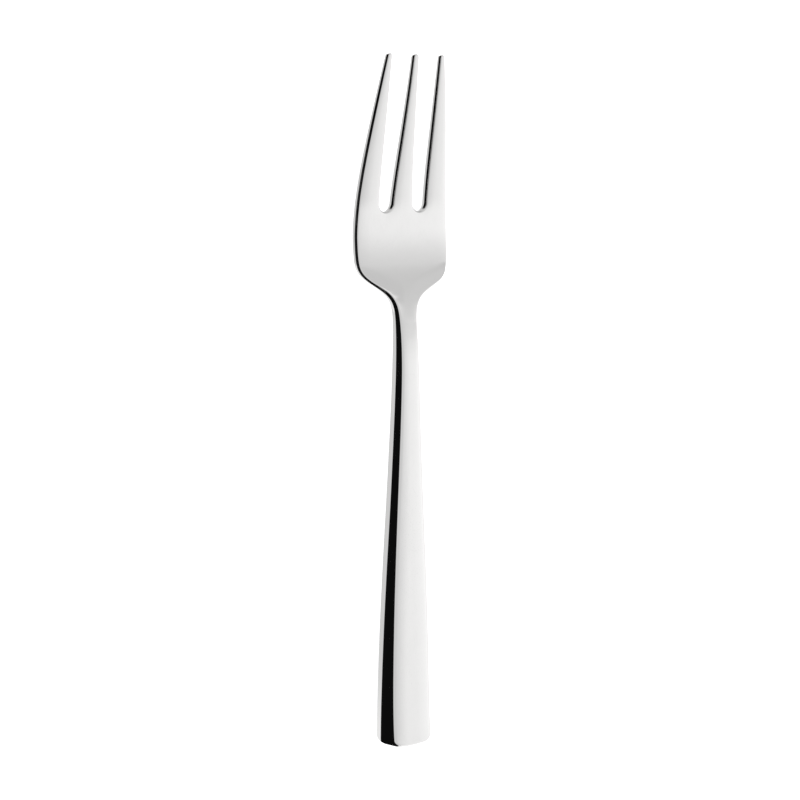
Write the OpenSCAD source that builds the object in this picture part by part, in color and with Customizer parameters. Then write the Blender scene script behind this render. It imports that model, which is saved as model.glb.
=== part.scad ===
// Pastry fork: one bar of polished steel, forged and stamped into a tapering handle,
// a slim neck, a shallow head and three tines.
// The handle runs along Y from its broad end to the tine tips. +Z is up and the
// tips curve up. The fork lies on z = 0, on its broad end and on its belly.
// Every place along the fork is measured from the broad end.

/* [Handle] */
// Width of the handle near its broad end
end_w = 10.6; // [9:0.1:13]
// Thickness of the handle at its broad end
end_t = 7.1; // [5.6:0.1:8.5]
// Radius of the arc that closes the broad end, seen from above
end_arc_r = 32; // [12:0.5:60]
// Radius of the two corners of the broad end, seen from above
end_corner_r = 1.7; // [0.8:0.1:2.2]
// How much further the lower part of the broad end reaches than its upper edge
end_lean = 0.4; // [0:0.1:1.2]
// How much thicker still the very end is
heel_t = 0.35; // [0:0.05:1]
// Length of that thicker heel
heel_l = 16; // [5:0.5:25]
// Length of the flat under the broad end, which rests on the table
pad_l = 5; // [4:0.5:14]
// Length over which the underside rounds up out of that flat
pad_blend_l = 5; // [2:0.5:20]
// Thickness that the handle tapers to before it thins into the neck
waist_t = 4.2; // [3.4:0.05:5.2]
// Place where the handle thins into the neck
waist_at = 93.3; // [86:0.1:96]
// Length that sets how gently the handle thins there
waist_run = 4; // [2:0.1:5]

/* [Neck] */
// Width of the neck at its narrowest
neck_w = 4.7; // [3.4:0.05:6]
// Thickness of the neck before it thins into the head
neck_t = 2.25; // [2:0.05:3.2]
// Place where the taper of the handle ends
neck_at = 98; // [93:0.5:100]
// Height of the underside of the neck above the table
neck_rise = 1.46; // [0.4:0.01:3]

/* [Head] */
// Width of the head at its widest
head_w = 24.35; // [20:0.05:28]
// Thickness of the head and of the roots of the tines
head_t = 2.05; // [1.4:0.05:2.2]
// Place of the middle of the two shoulders
shoulder_at = 101.2; // [100:0.1:103]
// Length that sets how sharply the shoulders swell
shoulder_run = 1.32; // [1:0.02:1.8]
// Place where the head is widest
widest_at = 111.4; // [108:0.1:114]
// Place where the underside drops from the neck to the belly
drop_at = 105.6; // [103:0.1:108]
// Length that sets how gently it drops
drop_run = 3.8; // [2:0.1:4.6]
// Place where the neck has thinned to the head
thinning_at = 102.4; // [100:0.1:108]
// Length that sets how gently it thins
thinning_run = 1.85; // [1.2:0.05:3.4]
// Depth that the hollow between the shoulders would have across the full width of the head
hollow_h = 3.4; // [0:0.1:4]
// Place where that hollow starts
hollow_from = 98; // [97:0.1:99]
// Place where it has run out into the flat of the head
hollow_to = 106; // [104:0.1:110]

/* [Tines] */
// Place of the bottoms of the two slots between the tines
slot_at = 116.8; // [115:0.1:120]
// Length of the tines from the slot bottoms to the tips
tine_l = 33.2; // [27:0.1:39]
// Width of the middle tine at its root
mid_root_w = 5.35; // [3.8:0.05:6.2]
// Width of each slot at its root
slot_w = 3.75; // [2.8:0.05:4.6]
// Distance between the centres of neighbouring tips
tip_pitch = 7; // [6.2:0.05:8.5]
// Width of the middle tine at its tip
mid_tip_w = 1.3; // [0.9:0.05:1.8]
// Width of the two outer tines at their tips
side_tip_w = 1; // [0.8:0.05:1.6]
// Thickness of the tines at their tips
tip_t = 1.4; // [1:0.05:1.8]
// Height of the underside of the tips above the table
tip_rise = 5.5; // [3:0.1:9]
// Place where the tines have turned up from the belly
lift_at = 118.2; // [116:0.1:122]
// Length that sets how gently they turn up
lift_run = 4; // [2.6:0.1:5]

/* [Edges] */
// Radius of the upper edges of the handle
top_edge_r = 0.8; // [0.3:0.05:1.2]
// Height of the tall rounds along the lower edges of the handle
under_edge_h = 2.6; // [1:0.1:3.2]
// Width of those rounds
under_edge_w = 0.9; // [0.4:0.05:1.4]
// How much lower the upper face of the handle lies at its edges than along its middle
crown_h = 0.15; // [0:0.01:0.4]
// The same on a head or tine as wide as twice the next value
head_crown_h = 0.07; // [0:0.01:0.3]
// Width over which the upper face falls to its edges
crown_w = 4; // [2:0.1:5]

/* [Hidden] */

// Largest rounds of the cross-section, in shares of the thickness there
under_edge_limit_share = 0.5;
top_edge_limit_share = 0.16;

// Powers that shape the curves along the fork. A higher one moves the change of the
// width or thickness further along.
flare_share = 1.1;
swell_share = 1.25;
shoulder_turn_share = 0.84;
side_taper_share = 1.43;
mid_taper_share = 1.31;
tip_thinning_share = 2.5;
// Power that gathers the fall of the upper face near its edges
crown_share = 2.4;

// Outline seen from above
overall_l = slot_at + tine_l;
root_gap_in = mid_root_w / 2;
root_gap_out = root_gap_in + slot_w;
slot_line = (root_gap_in + root_gap_out) / 2;
tip_gap_in = mid_tip_w / 2;
tip_gap_out = tip_pitch - side_tip_w / 2;
tip_side = tip_pitch + side_tip_w / 2;
slot_r = slot_w / 2;
function tip_r(strip) = (strip == 1 ? mid_tip_w : side_tip_w) / 2;

// Mesh: steps along the fork and across it
end_steps = 7;
handle_steps = 17;
shoulder_steps = 28;
head_steps = 7;
slot_steps = 8;
tine_steps = 15;
tip_steps = 6;
side_columns = 9;
middle_columns = 8;
tip_cap_turn = 78;
belly_steps = 40;
// Lengths that only the mesh needs, in shares of the sizes that they follow
end_cap_share = 0.2;
slope_look_share = 0.5;
least_round_share = 0.125;

function mix(a, b, u) = a + (b - a) * u;
function share_of(u) = max(0, min(1, u));
function ease(u) = let (v = share_of(u)) v * v * (3 - 2 * v);
// The same, gentler at both ends
function settle(u) = let (v = share_of(u)) v * v * v * (10 - 15 * v + 6 * v * v);
// Goes from 0 to 1 around a place
function soft_step(y, at, run) = 1 / (1 + exp((at - y) / run));
// Stays at 0 up to a place and then climbs one for one
function soft_ramp(y, at, run) = run * ln(1 + exp((y - at) / run));
function blend_ramp(y, at, run) =
    y < at ? 0 : y < at + run ? (y - at) * (y - at) / (2 * run) : y - at - run / 2;
// How far a round of radius r draws in at a distance d from where it starts
function inset(d, r) = d < r ? r - sqrt(r * r - (r - d) * (r - d)) : 0;
// Distance to the nearer of two edges that meet in a round corner
function corner_distance(p, q, r) = p < r && q < r ? r - norm([r - p, r - q]) : min(p, q);

// Half the width of the handle
function handle_side(y) =
    mix(end_w, neck_w, (1 - cos(180 * pow(share_of(y / neck_at), flare_share))) / 2) / 2;
// Half the width across the head and the outer sides of the tines
function head_side(y) =
    mix(head_w / 2, tip_side,
        pow(share_of((y - widest_at) / (overall_l - widest_at)), side_taper_share));
function side(y) =
    handle_side(y)
    + (head_side(y) - neck_w / 2)
    * pow(soft_step(y, shoulder_at, shoulder_run), shoulder_turn_share);

// The two edges of a slot: the middle tine's side and the outer tine's inner side
function along_tine(y) = share_of((y - slot_at) / tine_l);
function gap_in_full(y) = mix(tip_gap_in, root_gap_in, pow(1 - along_tine(y), mid_taper_share));
function gap_out_full(y) = mix(root_gap_out, tip_gap_out, along_tine(y));
function gap_centre(y) =
    y < slot_at ? slot_line * side(y) / side(slot_at) : (gap_in_full(y) + gap_out_full(y)) / 2;
function slot_open(y) =
    let (v = share_of((y - slot_at) / slot_r)) sqrt(1 - (1 - v) * (1 - v));
function half_gap(y) = (gap_out_full(y) - gap_in_full(y)) / 2 * slot_open(y);

// Side view: underside and thickness along the middle line
function handle_under(y) =
    neck_rise * blend_ramp(y, pad_l, pad_blend_l) / blend_ramp(neck_at, pad_l, pad_blend_l);
function raw_under(y) =
    handle_under(y) * (1 - soft_step(y, drop_at, drop_run))
    + tip_rise * soft_ramp(y, lift_at, lift_run) / soft_ramp(overall_l, lift_at, lift_run);
belly_gap = min([for (k = [0 : belly_steps]) raw_under(mix(drop_at, lift_at, k / belly_steps))]);
function under(y) = raw_under(y) - belly_gap * ease((y - waist_at) / (drop_at - waist_at));
function thickness(y) =
    mix(waist_t, end_t, pow(1 - share_of(y / waist_at), swell_share))
    + heel_t * pow(1 - share_of(y / heel_l), 2)
    - (waist_t - neck_t) * soft_step(y, waist_at, waist_run)
    - (neck_t - head_t) * soft_step(y, thinning_at, thinning_run)
    - (head_t - tip_t) * pow(along_tine(y), tip_thinning_share);

// Rise of the upper face beside the middle line, which leaves a hollow between the shoulders
function hollow(x, y) =
    hollow_h * ease((y - waist_at) / (hollow_from - waist_at))
    * settle((hollow_to - y) / (hollow_to - hollow_from)) * pow(2 * x / head_w, 2);
function side_thickness(y) = thickness(y) + hollow(side(y), y);

// Places of the cross-sections
end_cap_l = end_t * end_cap_share;
tip_cap_l = mid_tip_w / 2;
shoulder_from = waist_at - waist_run;
head_from = widest_at + shoulder_run;
rows = concat(
    [for (k = [0 : end_steps]) end_cap_l * (1 - cos(90 * k / end_steps))],
    [for (k = [1 : handle_steps]) mix(end_cap_l, shoulder_from, k / handle_steps)],
    [for (k = [1 : shoulder_steps]) mix(shoulder_from, head_from, k / shoulder_steps)],
    [for (k = [1 : head_steps]) mix(head_from, slot_at, sin(90 * k / head_steps))],
    [for (k = [1 : slot_steps]) slot_at + slot_r * (1 - cos(90 * k / slot_steps))],
    [for (k = [1 : tine_steps])
        mix(slot_at + slot_r, overall_l - tip_cap_l, k / tine_steps)],
    [for (k = [1 : tip_steps])
        overall_l - tip_cap_l + tip_cap_l * sin(tip_cap_turn * k / tip_steps)]
);
last_row = len(rows) - 1;
slot_row = end_steps + handle_steps + shoulder_steps + head_steps;

// Strips: 0 is the tine at -X, 1 the middle one, 2 the tine at +X. Below the slots
// they lie side by side and share their edges.
columns = [side_columns, middle_columns, side_columns];
strip_first = [0, columns[0] + 1, columns[0] + columns[1] + 2];
row_points = columns[0] + columns[1] + columns[2] + 3;

function tip_inset(y, strip) = inset(overall_l - y, tip_r(strip));
function outer_edge(y) = side(y) - inset(y, end_corner_r) - tip_inset(y, 0);
function strip_low(y, strip) =
    strip == 0 ? -outer_edge(y)
    : strip == 1 ? -gap_centre(y) + half_gap(y) + tip_inset(y, 1)
    : gap_centre(y) + half_gap(y) + tip_inset(y, 2);
function strip_high(y, strip) = -strip_low(y, 2 - strip);

// Columns crowd towards the edges of the piece
function column_share(y, strip, k) =
    let (
        u = k / columns[strip],
        tine_u = (1 - cos(180 * u)) / 2,
        body_u = strip == 0 ? 1 - cos(90 * u) : strip == 1 ? u : sin(90 * u)
    ) mix(body_u, tine_u, ease((y - shoulder_at) / (slot_at - shoulder_at)));

// Distance from a point inside the outline to the outline
side_look = shoulder_run * slope_look_share;
function side_cos(y) = let (slope = (side(y + side_look) - side(y - side_look)) / (2 * side_look))
    1 / sqrt(1 + slope * slope);
function slot_distance(x, y) =
    let (off = abs(abs(x) - gap_centre(y)))
    y < slot_at + slot_r
        ? norm([abs(abs(x) - slot_line), slot_at + slot_r - y]) - slot_r
        : abs(off - half_gap(y));
function edge_distance(x, y, strip) =
    let (
        outer = (side(y) - abs(x)) * side_cos(y),
        broad = corner_distance(outer, y, end_corner_r),
        inner = slot_distance(x, y),
        across = strip == 1 && y > slot_at ? inner : min(broad, inner)
    ) max(0, corner_distance(across, overall_l - y, tip_r(strip)));

// Half the width of the handle, the head or a tine
function half_strip(y, strip) =
    y < slot_at ? side(y) : (strip_high(y, strip) - strip_low(y, strip)) / 2;
// Fall of the upper face at a distance d from the edge of a strip
function crown_fall(y, d, half) =
    let (
        reach = min(half, crown_w),
        slope = mix(crown_h, head_crown_h, ease((y - waist_at) / (widest_at - waist_at))) / crown_w
    ) slope * reach * pow(1 - share_of(d / reach), crown_share);
// How far the arc and the lean of the broad end move a point towards the tips
function end_shift(x, y, z) =
    let (lean = end_lean * max(0, z - under_edge_h) / (end_t - under_edge_h))
    y < pad_l
        ? (end_arc_r - sqrt(end_arc_r * end_arc_r - x * x) + lean) * (1 - ease(y / pad_l))
        : 0;
function fork_point(y, strip, k, upper) =
    let (
        x = mix(strip_low(y, strip), strip_high(y, strip), column_share(y, strip, k)),
        d = edge_distance(x, y, strip),
        span = max(half_strip(y, strip), side_tip_w * least_round_share),
        top_r = min(top_edge_r, side_thickness(y) * top_edge_limit_share, span),
        foot_h = min(under_edge_h, side_thickness(y) * under_edge_limit_share),
        foot_w = min(foot_h * under_edge_w / under_edge_h, span),
        middle_z = under(y) + thickness(y),
        top_z = middle_z + hollow(x, y) - crown_fall(y, d, span) - inset(d, top_r),
        low_z = under(y) + foot_h * inset(d, foot_w) / foot_w,
        z = upper ? top_z : low_z
    ) [x, y + end_shift(x, y, z) - overall_l / 2, z];

points = concat(
    [for (y = rows) for (strip = [0 : 2]) for (k = [0 : columns[strip]])
        fork_point(y, strip, k, true)],
    [for (y = rows) for (strip = [0 : 2]) for (k = [0 : columns[strip]])
        fork_point(y, strip, k, false)]
);

// Index of a point. Up to the slot bottoms a strip starts on its neighbour's last point.
function at(row, strip, k, upper) =
    let (joined = row <= slot_row && strip > 0 && k == 0)
    (upper ? 0 : len(rows) * row_points) + row * row_points + strip_first[strip] + k
    - (joined ? 1 : 0);

// A face with four corners as two triangles
function quad(a, b, c, d) = [[a, b, c], [a, c, d]];
function skin(upper) = [
    for (row = [0 : last_row - 1]) for (strip = [0 : 2]) for (k = [0 : columns[strip] - 1])
        let (
            a = at(row, strip, k, upper),
            b = at(row + 1, strip, k, upper),
            c = at(row + 1, strip, k + 1, upper),
            d = at(row, strip, k + 1, upper)
        )
        for (face = upper ? quad(a, b, c, d) : quad(d, c, b, a)) face
];
// Wall along one edge of a strip, facing -X where low is true
function wall(strip, low, from) =
    let (k = low ? 0 : columns[strip]) [
        for (row = [from : last_row - 1])
            let (
                a = at(row, strip, k, true),
                b = at(row, strip, k, false),
                c = at(row + 1, strip, k, false),
                d = at(row + 1, strip, k, true)
            )
            for (face = low ? quad(a, b, c, d) : quad(d, c, b, a)) face
    ];
// Wall across the end of a strip, facing -Y at the broad end
function end_wall(row, strip) = [
    for (k = [0 : columns[strip] - 1])
        let (
            a = at(row, strip, k, true),
            b = at(row, strip, k + 1, true),
            c = at(row, strip, k + 1, false),
            d = at(row, strip, k, false)
        )
        for (face = row == 0 ? quad(a, b, c, d) : quad(d, c, b, a)) face
];

module fork() {
    color("silver")
    polyhedron(
        points = points,
        faces = concat(
            skin(true),
            skin(false),
            wall(0, true, 0),
            wall(2, false, 0),
            wall(0, false, slot_row),
            wall(1, true, slot_row),
            wall(1, false, slot_row),
            wall(2, true, slot_row),
            [for (strip = [0 : 2]) for (face = end_wall(0, strip)) face],
            [for (strip = [0 : 2]) for (face = end_wall(last_row, strip)) face]
        ),
        convexity = 8
    );
}

fork();
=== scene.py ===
"""A pastry fork of mirror-polished steel, lying on a pale studio table.

The fork is one forged piece. It is made here as a smith makes it: a flat blank of half the
fork is ruled into rows and columns, its slot is stamped out, the blank is pressed to the
side view of the fork, its edges are rolled from the upper face to the underside, and the
half is mirrored. X runs across the fork, +Y points to the tips and +Z is up. Every place
along the fork is measured from the broad end of the handle.
"""

import logging
import math
from dataclasses import asdict, dataclass, field
from enum import Enum
from functools import cached_property, partial
from typing import Callable

import bmesh
import bpy
from mathutils import Matrix, Vector


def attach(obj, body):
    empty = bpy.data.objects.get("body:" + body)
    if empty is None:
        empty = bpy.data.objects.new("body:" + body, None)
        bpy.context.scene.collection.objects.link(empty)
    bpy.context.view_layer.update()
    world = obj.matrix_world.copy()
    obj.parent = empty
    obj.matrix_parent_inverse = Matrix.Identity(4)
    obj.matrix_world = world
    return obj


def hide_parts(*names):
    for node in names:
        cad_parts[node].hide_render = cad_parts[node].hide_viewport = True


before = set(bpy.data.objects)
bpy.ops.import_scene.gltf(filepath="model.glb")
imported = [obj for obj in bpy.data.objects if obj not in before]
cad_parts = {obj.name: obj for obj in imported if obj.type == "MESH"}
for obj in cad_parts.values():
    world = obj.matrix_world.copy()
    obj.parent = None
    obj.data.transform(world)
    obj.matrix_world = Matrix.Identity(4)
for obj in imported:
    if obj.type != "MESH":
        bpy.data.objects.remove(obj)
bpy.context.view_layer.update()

MM = 0.001

# Name of the attribute that is 0 on the two faces and 1 on the walls between them.
RIM = "rim"

# Levels of each effect's pattern over which its mask rises or drops.
LINE_LEVELS = (0.3, 0.7)
SCRATCH_LEVELS = (1.0, 1.06)
SMUDGE_LEVELS = (0.85, 1.15)
FOOT_LEVELS = (0.2, 1.0)

# How often a scratch bends, and how far it swings.
SCRATCH_BENDS_PER_METRE = 90.0
SCRATCH_SWING = 2 * MM

Span = tuple[float, float]
Wire = bpy.types.NodeSocket | float | tuple[float, ...]
Inputs = dict[str | int, Wire]

log = logging.getLogger("fork")


def mix(a: float, b: float, share: float) -> float:
    """Returns the value that lies at a share of the way from a to b."""
    return a + (b - a) * share


def clamp(share: float) -> float:
    """Returns a share held between 0 and 1."""
    return max(0.0, min(1.0, share))


def ease(share: float) -> float:
    """Returns a share that starts and stops gently."""
    held = clamp(share)
    return held * held * (3 - 2 * held)


def settle(share: float) -> float:
    """Returns a share that starts and stops gentler still, without a bend in its slope."""
    held = clamp(share)
    return held * held * held * (10 - 15 * held + 6 * held * held)


def soft_step(y: float, at: float, run: float) -> float:
    """Returns a value that goes from 0 to 1 around a place.

    Args:
        y: Where the value is taken.
        at: Place of the middle of the step.
        run: Length that sets how gently the step goes.

    Returns:
        The height of the step at y.
    """
    return 1 / (1 + math.exp((at - y) / run))


def soft_ramp(y: float, at: float, run: float) -> float:
    """Returns 0 up to a place and then a length that climbs one for one.

    Args:
        y: Where the ramp is taken.
        at: Place where the ramp starts.
        run: Length that sets how gently it starts.

    Returns:
        The height of the ramp at y.
    """
    return run * math.log(1 + math.exp((y - at) / run))


def blend_ramp(y: float, at: float, run: float) -> float:
    """Returns a ramp that is exactly 0 before its start.

    Args:
        y: Where the ramp is taken.
        at: Place where the ramp starts.
        run: Length of the arc that starts it.

    Returns:
        The height of the ramp at y.
    """
    if y < at:
        return 0.0
    if y < at + run:
        return (y - at) ** 2 / (2 * run)
    return y - at - run / 2


def graded(count: int) -> list[float]:
    """Returns shares from 0 to 1 that crowd towards both ends.

    Args:
        count: Number of steps.

    Returns:
        One more share than there are steps.
    """
    return [(1 - math.cos(math.pi * k / count)) / 2 for k in range(count + 1)]


def grey(tone: float) -> tuple[float, float, float, float]:
    """Returns a solid grey."""
    return tone, tone, tone, 1.0


def set_down(name: str, mesh: bmesh.types.BMesh, finish: bpy.types.Material) -> bpy.types.Object:
    """Makes a modelled mesh an object of the scene.

    Args:
        name: Name of the object.
        mesh: The modelled mesh, which is freed.
        finish: The material.

    Returns:
        The object.
    """
    data = bpy.data.meshes.new(name)
    mesh.to_mesh(data)
    mesh.free()
    data.materials.append(finish)
    made = bpy.data.objects.new(name, data)
    bpy.context.scene.collection.objects.link(made)
    return made


class Strip(Enum):
    """The three strips of half a fork, counted from its middle line."""

    MIDDLE_TINE = 0
    SLOT = 1
    OUTER_TINE = 2


class Face(Enum):
    """The two broad faces of the fork."""

    UPPER = 0
    UNDER = 1


@dataclass(frozen=True)
class Handle:
    """Sizes of the tapering handle.

    Attributes:
        end_width: Width at the broad end.
        end_thickness: Thickness there, without the heel.
        end_arc_radius: Radius of the arc of the broad end, seen from above.
        end_corner_radius: Radius of its two corners.
        end_lean: How far the top of the end face leans towards the tips.
        heel_thickness: What the heel adds to the thickness at the very end.
        heel_length: Length over which the heel runs out.
        pad_length: Length of the flat that the handle rests on.
        pad_blend: Length of the arc by which the underside leaves the table.
        waist_thickness: Thickness where the handle gives way to the neck.
        waist_at: Place where it does so.
        waist_run: Length that sets how gently it does so.
        flare_power: Bends the taper of the width. Above 1, the end stays broad for longer.
        swell_power: Bends the fall of the thickness. Above 1, it falls sooner.
    """

    end_width: float = 10.6 * MM
    end_thickness: float = 7.1 * MM
    end_arc_radius: float = 32 * MM
    end_corner_radius: float = 1.7 * MM
    end_lean: float = 0.4 * MM
    heel_thickness: float = 0.35 * MM
    heel_length: float = 16 * MM
    pad_length: float = 5 * MM
    pad_blend: float = 5 * MM
    waist_thickness: float = 4.2 * MM
    waist_at: float = 93.3 * MM
    waist_run: float = 4 * MM
    flare_power: float = 1.1
    swell_power: float = 1.25


@dataclass(frozen=True)
class Neck:
    """Sizes of the slim neck between handle and head.

    Attributes:
        width: Width where the handle's taper ends.
        thickness: Thickness past the waist.
        at: Place where the handle's taper ends.
        rise: How far the underside climbs up to there.
    """

    width: float = 4.7 * MM
    thickness: float = 2.25 * MM
    at: float = 98 * MM
    rise: float = 1.46 * MM


@dataclass(frozen=True)
class Head:
    """Sizes of the broad head and its two shoulders.

    Attributes:
        width: Width between the shoulders and the tines.
        thickness: Thickness of the head.
        shoulder_at: Place of the middle of the shoulders.
        shoulder_run: Length that sets how gently they open.
        shoulder_power: Bends the shoulders. Below 1, they open sooner.
        widest_at: Place where the outer sides start to draw in.
        drop_at: Place of the middle of the drop from the neck to the belly.
        drop_run: Length that sets how gently it drops.
        thinning_at: Place of the middle of the step in thickness from neck to head.
        thinning_run: Length that sets how gently it thins.
        hollow_depth: Depth of the hollow between the shoulders, if it had the full width.
        hollow_from: Place where the hollow has set in.
        hollow_to: Place where it has run out.
        hollow_power: How steeply it rises to its sides where it sets in.
        hollow_flat_at: Place past which its middle gets flat.
        hollow_flat_run: Length that sets how gently it gets flat.
        hollow_flat_power: How steeply it rises to its sides past that place.
    """

    width: float = 24.35 * MM
    thickness: float = 2.05 * MM
    shoulder_at: float = 101.2 * MM
    shoulder_run: float = 1.32 * MM
    shoulder_power: float = 0.84
    widest_at: float = 111.4 * MM
    drop_at: float = 105.6 * MM
    drop_run: float = 3.8 * MM
    thinning_at: float = 102.4 * MM
    thinning_run: float = 1.85 * MM
    hollow_depth: float = 3.4 * MM
    hollow_from: float = 98 * MM
    hollow_to: float = 106 * MM
    hollow_power: float = 2.0
    hollow_flat_at: float = 103 * MM
    hollow_flat_run: float = 0.8 * MM
    hollow_flat_power: float = 9.0


@dataclass(frozen=True)
class Tines:
    """Sizes of the three tines and the two slots between them.

    Attributes:
        slot_at: Place of the bottoms of the slots.
        length: Length from there to the tips.
        middle_root_width: Width of the middle tine at the slot bottoms.
        slot_width: Width of a slot at its bottom.
        tip_pitch: Distance from one tip to the next.
        middle_tip_width: Width of the middle tip.
        outer_tip_width: Width of an outer tip.
        tip_thickness: Thickness at the tips.
        tip_rise: Height of the underside at the tips.
        lift_at: Place where the tines start to curve up.
        lift_run: Length that sets how gently they start.
        outer_taper_power: Bends the outer sides. Above 1, they draw in later.
        middle_taper_power: Bends the middle tine's sides. Above 1, they draw in sooner.
        tip_thinning_power: Bends the fall of the thickness. Above 1, it falls later.
    """

    slot_at: float = 116.8 * MM
    length: float = 33.2 * MM
    middle_root_width: float = 5.35 * MM
    slot_width: float = 3.75 * MM
    tip_pitch: float = 7 * MM
    middle_tip_width: float = 1.3 * MM
    outer_tip_width: float = 1 * MM
    tip_thickness: float = 1.4 * MM
    tip_rise: float = 5.5 * MM
    lift_at: float = 118.2 * MM
    lift_run: float = 4 * MM
    outer_taper_power: float = 1.43
    middle_taper_power: float = 1.31
    tip_thinning_power: float = 2.5


@dataclass(frozen=True)
class Edges:
    """Sizes of the rounds along every edge and of the soft fall of the upper face.

    Attributes:
        top_radius: Radius of the round along the upper edge.
        top_limit_share: Share of the thickness that this round takes at most.
        under_height: Height of the tall round along the lower edge.
        under_width: Width of that round.
        under_limit_share: Share of the thickness that it takes at most.
        crown_height: How far the handle's face falls towards its sides.
        head_crown_height: How far the head's face does.
        crown_width: Width over which they fall.
        crown_power: Bends the fall. The higher, the nearer to the edge.
        tine_crown_height: How far a tine as broad as the handle would fall.
        tine_crown_power: Bends the fall on the tines.
    """

    top_radius: float = 0.8 * MM
    top_limit_share: float = 0.16
    under_height: float = 2.6 * MM
    under_width: float = 0.9 * MM
    under_limit_share: float = 0.5
    crown_height: float = 0.15 * MM
    head_crown_height: float = 0.07 * MM
    crown_width: float = 4 * MM
    crown_power: float = 2.4
    tine_crown_height: float = 0.14 * MM
    tine_crown_power: float = 2


@dataclass(frozen=True)
class ForkShape:
    """The surface of the fork as curves of its sizes, for the half with x above 0."""

    handle: Handle = field(default_factory=Handle)
    neck: Neck = field(default_factory=Neck)
    head: Head = field(default_factory=Head)
    tines: Tines = field(default_factory=Tines)
    edges: Edges = field(default_factory=Edges)

    @cached_property
    def length(self) -> float:
        """Whole length of the fork."""
        return self.tines.slot_at + self.tines.length

    @cached_property
    def slot_radius(self) -> float:
        """Radius of the round bottom of a slot."""
        return self.tines.slot_width / 2

    def side(self, y: float) -> float:
        """Half the width of the outline, to the outer side of the outer tine."""
        flare = clamp(y / self.neck.at) ** self.handle.flare_power
        bar = mix(self.handle.end_width, self.neck.width, (1 - math.cos(math.pi * flare)) / 2) / 2
        tip_side = self.tines.tip_pitch + self.tines.outer_tip_width / 2
        taper = clamp((y - self.head.widest_at) / (self.length - self.head.widest_at))
        broad = mix(self.head.width / 2, tip_side, taper**self.tines.outer_taper_power)
        swell = soft_step(y, self.head.shoulder_at, self.head.shoulder_run)
        return bar + (broad - self.neck.width / 2) * swell**self.head.shoulder_power

    def along_tine(self, y: float) -> float:
        """Share of the way from the slot bottoms to the tips."""
        return clamp((y - self.tines.slot_at) / self.tines.length)

    def slot_inner(self, y: float) -> float:
        """Distance from the middle line to the middle tine's side."""
        tines = self.tines
        left = (1 - self.along_tine(y)) ** tines.middle_taper_power
        return mix(tines.middle_tip_width, tines.middle_root_width, left) / 2

    def slot_outer(self, y: float) -> float:
        """Distance from the middle line to the outer tine's inner side."""
        tines = self.tines
        root = tines.middle_root_width / 2 + tines.slot_width
        tip = tines.tip_pitch - tines.outer_tip_width / 2
        return mix(root, tip, self.along_tine(y))

    def raw_under(self, y: float) -> float:
        """Height of the underside before the belly is let down to the table."""
        hand, neck, head, tines = self.handle, self.neck, self.head, self.tines
        climb = blend_ramp(y, hand.pad_length, hand.pad_blend)
        climb /= blend_ramp(neck.at, hand.pad_length, hand.pad_blend)
        lift = soft_ramp(y, tines.lift_at, tines.lift_run)
        lift /= soft_ramp(self.length, tines.lift_at, tines.lift_run)
        stay = 1 - soft_step(y, head.drop_at, head.drop_run)
        return neck.rise * climb * stay + tines.tip_rise * lift

    @cached_property
    def belly_gap(self) -> float:
        """Height of the lowest point of the belly before it is let down."""
        steps = 40
        start, stop = self.head.drop_at, self.tines.lift_at
        return min(self.raw_under(mix(start, stop, k / steps)) for k in range(steps + 1))

    def under(self, y: float) -> float:
        """Height of the underside above the table."""
        waist, drop = self.handle.waist_at, self.head.drop_at
        return self.raw_under(y) - self.belly_gap * ease((y - waist) / (drop - waist))

    def thickness(self, y: float) -> float:
        """Thickness of the fork along its middle line."""
        hand, neck, head, tines = self.handle, self.neck, self.head, self.tines
        swell = (1 - clamp(y / hand.waist_at)) ** hand.swell_power
        bar = mix(hand.waist_thickness, hand.end_thickness, swell)
        bar += hand.heel_thickness * (1 - clamp(y / hand.heel_length)) ** 2
        to_neck = soft_step(y, hand.waist_at, hand.waist_run)
        to_head = soft_step(y, head.thinning_at, head.thinning_run)
        bar -= (hand.waist_thickness - neck.thickness) * to_neck
        bar -= (neck.thickness - head.thickness) * to_head
        to_tip = self.along_tine(y) ** tines.tip_thinning_power
        return bar - (head.thickness - tines.tip_thickness) * to_tip

    def hollow(self, x: float, y: float) -> float:
        """Rise of the upper face beside the middle line, in the hollow between the shoulders."""
        head, waist = self.head, self.handle.waist_at
        into = ease((y - waist) / (head.hollow_from - waist))
        out = settle((head.hollow_to - y) / (head.hollow_to - head.hollow_from))
        side = self.side(y)
        border = head.hollow_depth * into * out * (2 * side / head.width) ** head.hollow_power
        flat = soft_step(y, head.hollow_flat_at, head.hollow_flat_run)
        return border * clamp(x / side) ** mix(head.hollow_power, head.hollow_flat_power, flat)

    def side_thickness(self, y: float) -> float:
        """Thickness of the fork along its sides."""
        return self.thickness(y) + self.hollow(self.side(y), y)

    def top_radius(self, y: float) -> float:
        """Radius of the round along the upper edge."""
        return min(self.edges.top_radius, self.side_thickness(y) * self.edges.top_limit_share)

    def under_width(self, y: float) -> float:
        """Width of the tall round along the lower edge."""
        return self.under_height(y) * self.edges.under_width / self.edges.under_height

    def under_height(self, y: float) -> float:
        """Height of the tall round along the lower edge."""
        limit = self.side_thickness(y) * self.edges.under_limit_share
        return min(self.edges.under_height, limit)

    def tine_share(self, y: float) -> float:
        """How far the crown has turned from the head's to that of the tines."""
        return ease((y - self.tines.slot_at) / self.tines.slot_width)

    def crown_slope(self, y: float) -> float:
        """Mean slope of the fall of the upper face towards its edges."""
        edges, head = self.edges, self.head
        flat = ease((y - self.handle.waist_at) / (head.widest_at - self.handle.waist_at))
        height = mix(edges.crown_height, edges.head_crown_height, flat)
        return mix(height, edges.tine_crown_height, self.tine_share(y)) / edges.crown_width

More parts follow.
